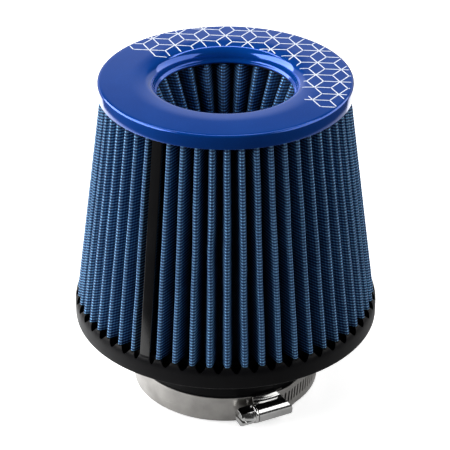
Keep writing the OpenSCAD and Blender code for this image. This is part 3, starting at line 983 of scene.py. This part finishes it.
def clamp_band(material):
    """The strap as a grid of azimuths and heights, front and back, with a ring of faces round each slot."""
    start = CLAMP_AZ - HOUSING_HALF_AZ + END_IN_AZ
    end = CLAMP_AZ + HOUSING_HALF_AZ - END_IN_AZ + 360
    slots_az = start + SLOT_PITCH / 2 + SLOT_PITCH * np.arange(BAND_SLOTS + 1)
    in_slots = np.concatenate([a + SLOT_PITCH * np.arange(SLOT_COLS) / SLOT_COLS for a in slots_az[:-1]])
    azimuths = np.concatenate([[start], in_slots, np.linspace(slots_az[-1], end, 190)])
    heights = np.linspace(BAND_EDGE, BAND_W - BAND_EDGE, 11) + BAND_Z
    rows, cols = len(heights), len(azimuths)
    inner = band_radius(azimuths)
    verts = [at(azimuths, inner + t, heights[:, None]).reshape(-1, 3) for t in (BAND_T, 0)]
    back_first = rows * cols
    faces = []
    total = 2 * back_first

    def join_across(ids, rings, closed):
        """Adds rings of new points, and the faces from ids on the front over them to those on the back."""
        nonlocal verts, faces, total
        count = len(ids)
        new = [range(total + k * count, total + (k + 1) * count) for k in range(len(rings))]
        verts += rings
        total += count * len(rings)
        faces += stitch([ids, *new, [back_first + i for i in ids]], closed)

    slotted = range(1, 1 + BAND_SLOTS * SLOT_COLS)
    plain = [quad for quad in grid_faces(rows, cols) if quad[0] % cols not in slotted]
    faces += plain + [[back_first + i for i in quad] for quad in plain]
    top = rows - 1
    for j0 in slotted[::SLOT_COLS]:
        j1 = j0 + SLOT_COLS
        loop = [(0, j) for j in range(j0, j1)] + [(i, j1) for i in range(top)]
        loop += [(top, j) for j in range(j1, j0, -1)] + [(i, j0) for i in range(top, 0, -1)]
        i, j = np.array(loop).T
        rings = slot_rings(azimuths[j0] + SLOT_PITCH / 2, azimuths[j], heights[i])
        join_across([a * cols + b for a, b in loop], rings, True)
    # Round edges along the top and bottom of the strap, and its two ends
    for row, sign in ((0, -1), (top, 1)):
        rim = []
        for a in np.radians([30, 60, 90, 120, 150]):
            out = inner + BAND_T / 2 * (1 + math.cos(a))
            rim.append(at(azimuths, out, heights[row] + sign * BAND_EDGE * math.sin(a)))
        join_across(range(row * cols, (row + 1) * cols), rim, False)
    for j in (0, cols - 1):
        join_across(range(j, back_first, cols), [], False)
    strap = add_piece("strap", (np.concatenate(verts), faces), material, sharp=30)
    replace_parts(strap, "clamp_band")


def ring_block(r0, r1, z0, z1, half_az):
    """A bent bar round the neck at the clamp, with soft edges."""
    soft = 0.15
    rz = np.array(rounded([(r0, z0, soft), (r1, z0, soft), (r1, z1, soft), (r0, z1, soft)], 3))
    azimuths = np.linspace(CLAMP_AZ - half_az, CLAMP_AZ + half_az, 20)
    return capped(at(azimuths[:, None], *rz.T))


def cut_end(z):
    """How far the housing reaches along the screw, at its slanted corner, at a height over the screw."""
    full = HOUSING_LEN / 2
    start = PLATE_HALF_W - HOUSING_CORNER_W
    return full - HOUSING_CORNER * np.clip((z - start) / HOUSING_CORNER_W, 0, 1)


def clamp_saddle(material):
    low, high = BAND_MID_Z - PLATE_HALF_W, BAND_MID_Z + PLATE_HALF_W
    half = HOUSING_HALF_AZ - END_IN_AZ
    lip = HOUSING_EXTRA_W / 2 - 0.1
    plate_and_lips = ((TAIL_R, low, high), (PLATE_R, low, low + lip), (PLATE_R, high - lip, high))
    verts, faces = join(*(ring_block(SADDLE_R, *bar, half) for bar in plate_and_lips))
    # The corner away from the screw's head is cut as the housing's is.
    along = at(CLAMP_AZ + 90, 1, 0) / MM
    over = np.maximum(verts @ along - cut_end(verts[:, 2] / MM - BAND_MID_Z) * MM, 0)
    verts -= over[:, None] * along
    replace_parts(add_piece("clamp_cradle", (verts, faces), material, sharp=30), "clamp_saddle")


HOUSING_FILLET = 0.9
# Wall of the pressing as it is seen, and how far its edges are drawn in for a soft rim
HOUSING_WALL = 0.75
HOUSING_RIM = 0.12
# Distance from the plate over which the pressing stops following the strap's curve
HOUSING_BEND = 1.2


def housing_section():
    """The housing's outer face across the screw, from its lower edge up, as (distance from the neck's axis,
    height)."""
    out = PLATE_R + HOUSING_T
    reach = TUBE_R + HOUSING_FILLET
    bend = arc((out + HOUSING_FILLET, -reach), HOUSING_FILLET, 180, 90, 5)
    half = np.array([(out, -PLATE_HALF_W), (out, -reach - 0.3), *bend], float)
    tube = arc((WORM_AXIS_R, 0), TUBE_R, -90, 90, 28)
    return np.concatenate([half, tube, half[::-1] * [1, -1]])


def clamp_housing(material):
    section = housing_section()
    n = len(section)
    normal = np.gradient(section, axis=0)
    normal = np.stack([-normal[:, 1], normal[:, 0]], -1)
    normal /= np.linalg.norm(normal, axis=1)[:, None]
    inner = section + normal * HOUSING_WALL
    inner[:, 0] = np.maximum(inner[:, 0], PLATE_R)
    steps = 18
    half = HOUSING_LEN / 2

    def sheet(line, pull):
        """One face of the pressing. pull draws its edges in."""
        bent = np.clip((PLATE_R + HOUSING_T + HOUSING_BEND - line[:, 0]) / HOUSING_BEND, 0, 1)
        t = np.linspace(0, 1, steps)[:, None]
        start = pull - half
        y = start + (cut_end(line[:, 1]) - pull - start) * t
        # Near the neck the plate follows the strap's curve, and the tube is straight.
        sink = PLATE_R - np.sqrt(PLATE_R**2 - y**2)
        return clamp_point(line[:, 0] - sink * bent, y, line[:, 1])

    middle = section + normal * HOUSING_WALL / 2
    verts = [sheet(section, HOUSING_RIM), sheet(middle, 0), sheet(inner, HOUSING_RIM)]
    layer = steps * n
    faces = grid_faces(steps, n) + grid_faces(steps, n, first=2 * layer)
    # Rims: from the outer face over the middle line to the inner face
    border = [i * n for i in range(steps)] + [(steps - 1) * n + j for j in range(1, n)]
    border += [(i + 1) * n - 1 for i in range(steps - 2, -1, -1)] + list(range(n - 2, 0, -1))
    faces += stitch([[i + k * layer for i in border] for k in range(3)])
    # End wall round the screw's neck
    hole_r = SCREW_NECK_R + RUN_GAP
    out_r = TUBE_R - 0.3
    profile = ((out_r, 0.02), (hole_r + 0.1, 0.02), (hole_r, 0.12), (hole_r, TUBE_WALL), (out_r, TUBE_WALL))
    end_wall = round_screw([(r, y - half) for r, y in profile], full_turn(48) - 180)
    shape = join((np.concatenate(verts), faces), end_wall)
    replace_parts(add_piece("clamp_shell", shape, material, sharp=40), "clamp_housing")


def round_screw(profile, angles=full_turn(64)):
    """Points and faces of a closed profile of (radius, place along the screw) turned round its axis."""
    r, y = np.array(profile, float).T[:, :, None]
    a = np.radians(angles)
    verts = clamp_point(WORM_AXIS_R + r * np.cos(a), y, r * np.sin(a))
    return verts, grid_faces(len(r), len(a), wrap_rows=True, wrap_cols=True)


# Thread of the worm: its depth, the shares of half a pitch where its flank starts and ends, the length of the
# taper at its ends and the least share of that taper
THREAD_DEPTH = 1.1
THREAD_FLANK = (0.22, 0.62)
THREAD_TAPER = 0.8
THREAD_TAPER_LEAST = 0.55


def worm(start, end):
    """A thread of one start, whose pitch is the distance between the strap's slots."""
    pitch = math.radians(SLOT_PITCH) * TAIL_R
    angle = np.radians(full_turn(40))[None]
    y = np.linspace(start, end, 110)[:, None]
    turn = (y / pitch - angle / (2 * math.pi)) % 1
    low, high = THREAD_FLANK
    tooth = np.clip(np.minimum(turn, 1 - turn) * 2, low, high)
    taper = np.clip(np.minimum(y - start, end - y) / THREAD_TAPER, THREAD_TAPER_LEAST, 1)
    radius = (WORM_R - THREAD_DEPTH * (tooth - low) / (high - low)) * (0.75 + 0.25 * taper)
    verts = clamp_point(WORM_AXIS_R + radius * np.cos(angle), y, radius * np.sin(angle))
    count = angle.shape[1]
    caps = [clamp_point(WORM_AXIS_R, place, 0)[None] for place in (start, end)]
    last = (len(y) - 1) * count
    faces = grid_faces(len(y), count, wrap_cols=True)
    faces += fan(0, count, last + count) + fan(last, count, last + count + 1)
    return np.concatenate([verts.reshape(-1, 3), *caps]), faces


def clamp_screw(material):
    """Hex head with a slot, collar, neck and worm, along y in the clamp's frame."""
    half = HOUSING_LEN / 2
    back = -half - RUN_GAP
    base_y = back - COLLAR_T
    # The collar and the neck are rings round a core that is never seen.
    core_r = 0.5
    soft = 0.35
    collar = [(core_r, back, 0), (core_r, base_y, 0), (COLLAR_R, base_y, soft), (COLLAR_R, back, soft)]
    neck_ends = (back - 0.05, -half + TUBE_WALL + 0.2)
    neck = list(zip((core_r, SCREW_NECK_R, SCREW_NECK_R, core_r), np.repeat(neck_ends, 2)))
    thread = worm(-half + TUBE_WALL + RUN_GAP, half - RUN_GAP)
    shaft = join(round_screw(rounded(collar)), round_screw(neck), thread)
    screw = add_piece("screw_shaft", shaft, material, "clamp_screw")
    head = screw_head(base_y, base_y - HEAD_LEN)
    add_piece("screw_head", head, material, "clamp_screw", sharp=28)
    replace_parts(screw, "clamp_screw")


def screw_head(base_y, end_y):
    """A hex head: the outline of a hexagon with soft corners, drawn in at the free end, less its slot."""
    corner_r = HEAD_AF / 2 / math.cos(math.radians(30))
    outline = np.array(rounded([(*(corner_r * unit(60 * k + HEAD_TURN + 90)), 0.25) for k in range(6)]))
    size = np.linalg.norm(outline, axis=1)[:, None]
    chamfer_len = 1.2
    limits = [(base_y, corner_r), (end_y + chamfer_len, corner_r)]
    limits += [(end_y + d, corner_r - HEAD_CHAMFER * (1 - d / chamfer_len) - 0.05) for d in (0.8, 0.4, 0.12)]
    limits += [(end_y, corner_r - HEAD_CHAMFER - 0.2)]
    rows = []
    for y, limit in limits:
        x, z = (outline * np.minimum(1, limit / size)).T
        rows.append(clamp_point(WORM_AXIS_R + x, y, z))
    # The slot is cut with a box that stands across the end, twice as long as the head is wide.
    box = [
        clamp_point(WORM_AXIS_R + x * HEAD_AF, y, z * HEAD_SLOT_W / 2)
        for y in (end_y - 1, end_y + HEAD_SLOT_DEPTH)
        for x, z in BOX_CORNERS
    ]
    shapes = capped(rows), capped([box[:4], box[4:]])
    tools = []
    for name, shape in zip(("head_work", "slot_work"), shapes):
        mesh = new_mesh(name, *shape)
        face_outward(mesh)
        tools.append(link_new(name, mesh))
    head, cutter = tools
    cut = head.modifiers.new("slot", "BOOLEAN")
    cut.operation = "DIFFERENCE"
    cut.solver = "EXACT"
    cut.object = cutter
    soft = head.modifiers.new("edges", "BEVEL")
    soft.width = 0.1 * MM
    soft.segments = 2
    soft.limit_method = "ANGLE"
    soft.angle_limit = math.radians(40)
    bpy.context.view_layer.update()
    done = head.evaluated_get(bpy.context.evaluated_depsgraph_get()).to_mesh()
    verts = np.array([v.co[:] for v in done.vertices])
    faces = [list(p.vertices) for p in done.polygons]
    for tool in tools:
        bpy.data.objects.remove(tool)
    return verts, faces


# Studio

# Each lamp's name, azimuth, elevation, distance and size in metres, and power. All look at the filter's
# middle.
LAMP_AIM = Vector((0, 0, 0.09))
LAMPS = (
    ("key", -91, 28, 1.1, (1.6, 0.9), 29),
    ("fill", 91, 28, 1.1, (1.8, 0.9), 12),
    ("overhead", 180, 66, 1.3, (1.6, 0.2), 6),
)
# The room as polished surfaces see it: where it fades and how bright it is there, by height and by depth
ROOM_BY_HEIGHT = (0.385, 0.465, 0.76, 0.01)
ROOM_BY_DEPTH = (-0.4, 0.25, 0.02, 1)
ROOM_AMBIENT = 0.03


def add_lamps():
    for name, az, elevation, distance, size, power in LAMPS:
        data = bpy.data.lights.new(name, "AREA")
        data.shape = "RECTANGLE"
        data.size, data.size_y = size
        data.energy = power
        e = math.radians(elevation)
        place = LAMP_AIM + Vector(at(az, distance * math.cos(e) / MM, distance * math.sin(e) / MM))
        look_at(link_new(name, data), place, LAMP_AIM)


def add_room():
    """The room is white low down behind the object, and dim above and where the photographer stands."""
    world = bpy.data.worlds.new("room")
    bpy.context.scene.world = world
    world.use_nodes = True
    world.node_tree.nodes.clear()
    f = Nodes(world.node_tree)
    _, depth, height = f.xyz(f.node("TexCoord", {}, out="Generated"))
    by_height = f.span(height, *ROOM_BY_HEIGHT)
    by_depth = f.span(depth, *ROOM_BY_DEPTH)
    room = f.calc("MULTIPLY_ADD", by_height, by_depth, ROOM_AMBIENT)
    seen, glossy = f.rays()
    ambient = f.node("Mix", {0: glossy, 2: ROOM_AMBIENT, 3: room})
    back = f.node("Background", {"Strength": f.node("Mix", {0: seen, 2: ambient, 3: 1.0})})
    f.node("OutputWorld", {0: back})


# In metres: half the floor's side, how far it lies below the neck's end, and the middle of its bright zones
FLOOR_HALF = 6
FLOOR_DROP = 0.0003
FLOOR_MIDDLE = (0, 0.06, 0)


def add_floor():
    """White paper. To rays that aren't seen it is nearly black, so it throws no light up at the object."""
    f = Finish("floor")
    place = f.place()
    grain = f.noise(place, scale=30, detail=3)
    pale = f.mix(f.span(grain, 0.3, 0.7), rgb(0.86, 0.86, 0.86), rgb(0.9, 0.9, 0.9))
    # Painted reflection: the paper glows only for polished surfaces, bright beside the object, more so on the
    # side of the key lamp, brightest behind it, and dim towards the photographer and far off.
    x, y, _ = f.xyz(f.node("VectorMath", {0: place}, operation="NORMALIZE"))
    ahead = f.span(f.times(y, -1), 0.45, 0.9)
    aside = f.span(x, -0.5, 0.8, 1, 0.4)
    away = f.node("VectorMath", {0: place, 1: FLOOR_MIDDLE}, out="Value", operation="DISTANCE")
    edge = f.span(away, 0.262, 0.28, 1, 0.02)
    beside = f.times(f.times(aside, edge), f.span(ahead, 0, 1, 1, 0.54))
    behind = f.times(f.span(y, 0.67, 0.72), f.span(away, 0.18, 0.25))
    behind = f.times(behind, f.span(away, 0.34, 0.37, 1.3, 0))
    seen, glossy = f.rays()
    seen = f.calc("MAXIMUM", seen, f.times(glossy, f.calc("MAXIMUM", beside, behind)))
    f.set(
        Base_Color=f.mix(seen, rgb(0.03, 0.03, 0.03), pale),
        Roughness=0.9,
        Specular_IOR_Level=0.1,
        Emission_Color=rgb(1, 1, 1),
        Emission_Strength=f.times(seen, f.span(away, 0.4, 1.5, 0.62, 1)),
    )
    corners = [(x * FLOOR_HALF, y * FLOOR_HALF, 0) for x, y in BOX_CORNERS]
    mesh = new_mesh("floor", corners, [[0, 1, 2, 3]])
    mesh.materials.append(f.material)
    floor = link_new("floor", mesh)
    floor.location.z = -FLOOR_DROP


add_camera()
add_lamps()
add_room()
add_floor()

media = media_finish("media_blue", rgb(0.25, 0.62, 1), rgb(0.001, 0.03, 0.16), rgb(0.0004, 0.009, 0.05))
# The inner cone's cloth and wires are a darker copy of the outer wall's, as painted shade inside the opening.
inner_media_shaded = media_finish("media_inner_shaded", rgb(0.16, 0.5, 1), rgb(0.001, 0.02, 0.09), rgb(0.0004, 0.006, 0.028))
rubber = rubber_finish("rubber_black", rgb(0.004, 0.004, 0.0047), 0.38, 0.015, 0.08)
strip_black = rubber_finish("strip_black", rgb(0.002, 0.002, 0.0024), 0.09, 0.002, 0.5)
paint = ring_finish()
ink = print_finish()
strap_steel = steel_finish("steel_strap", rgb(0.42, 0.407, 0.39), 0.26, 1, 0.004)
bright_steel = steel_finish("steel_bright", rgb(0.76, 0.76, 0.75), 0.08, 0, 0.004)

outer_wall(media)
inner_wall(inner_media_shaded)
top_ring(paint)
ring_print(ink)
potting(rubber)
end_cap(rubber)
seam_strip(strip_black)
base(rubber)
clamp_band(strap_steel)
clamp_saddle(bright_steel)
clamp_housing(bright_steel)
clamp_screw(bright_steel)

bpy.context.scene.view_settings.view_transform = "Standard"
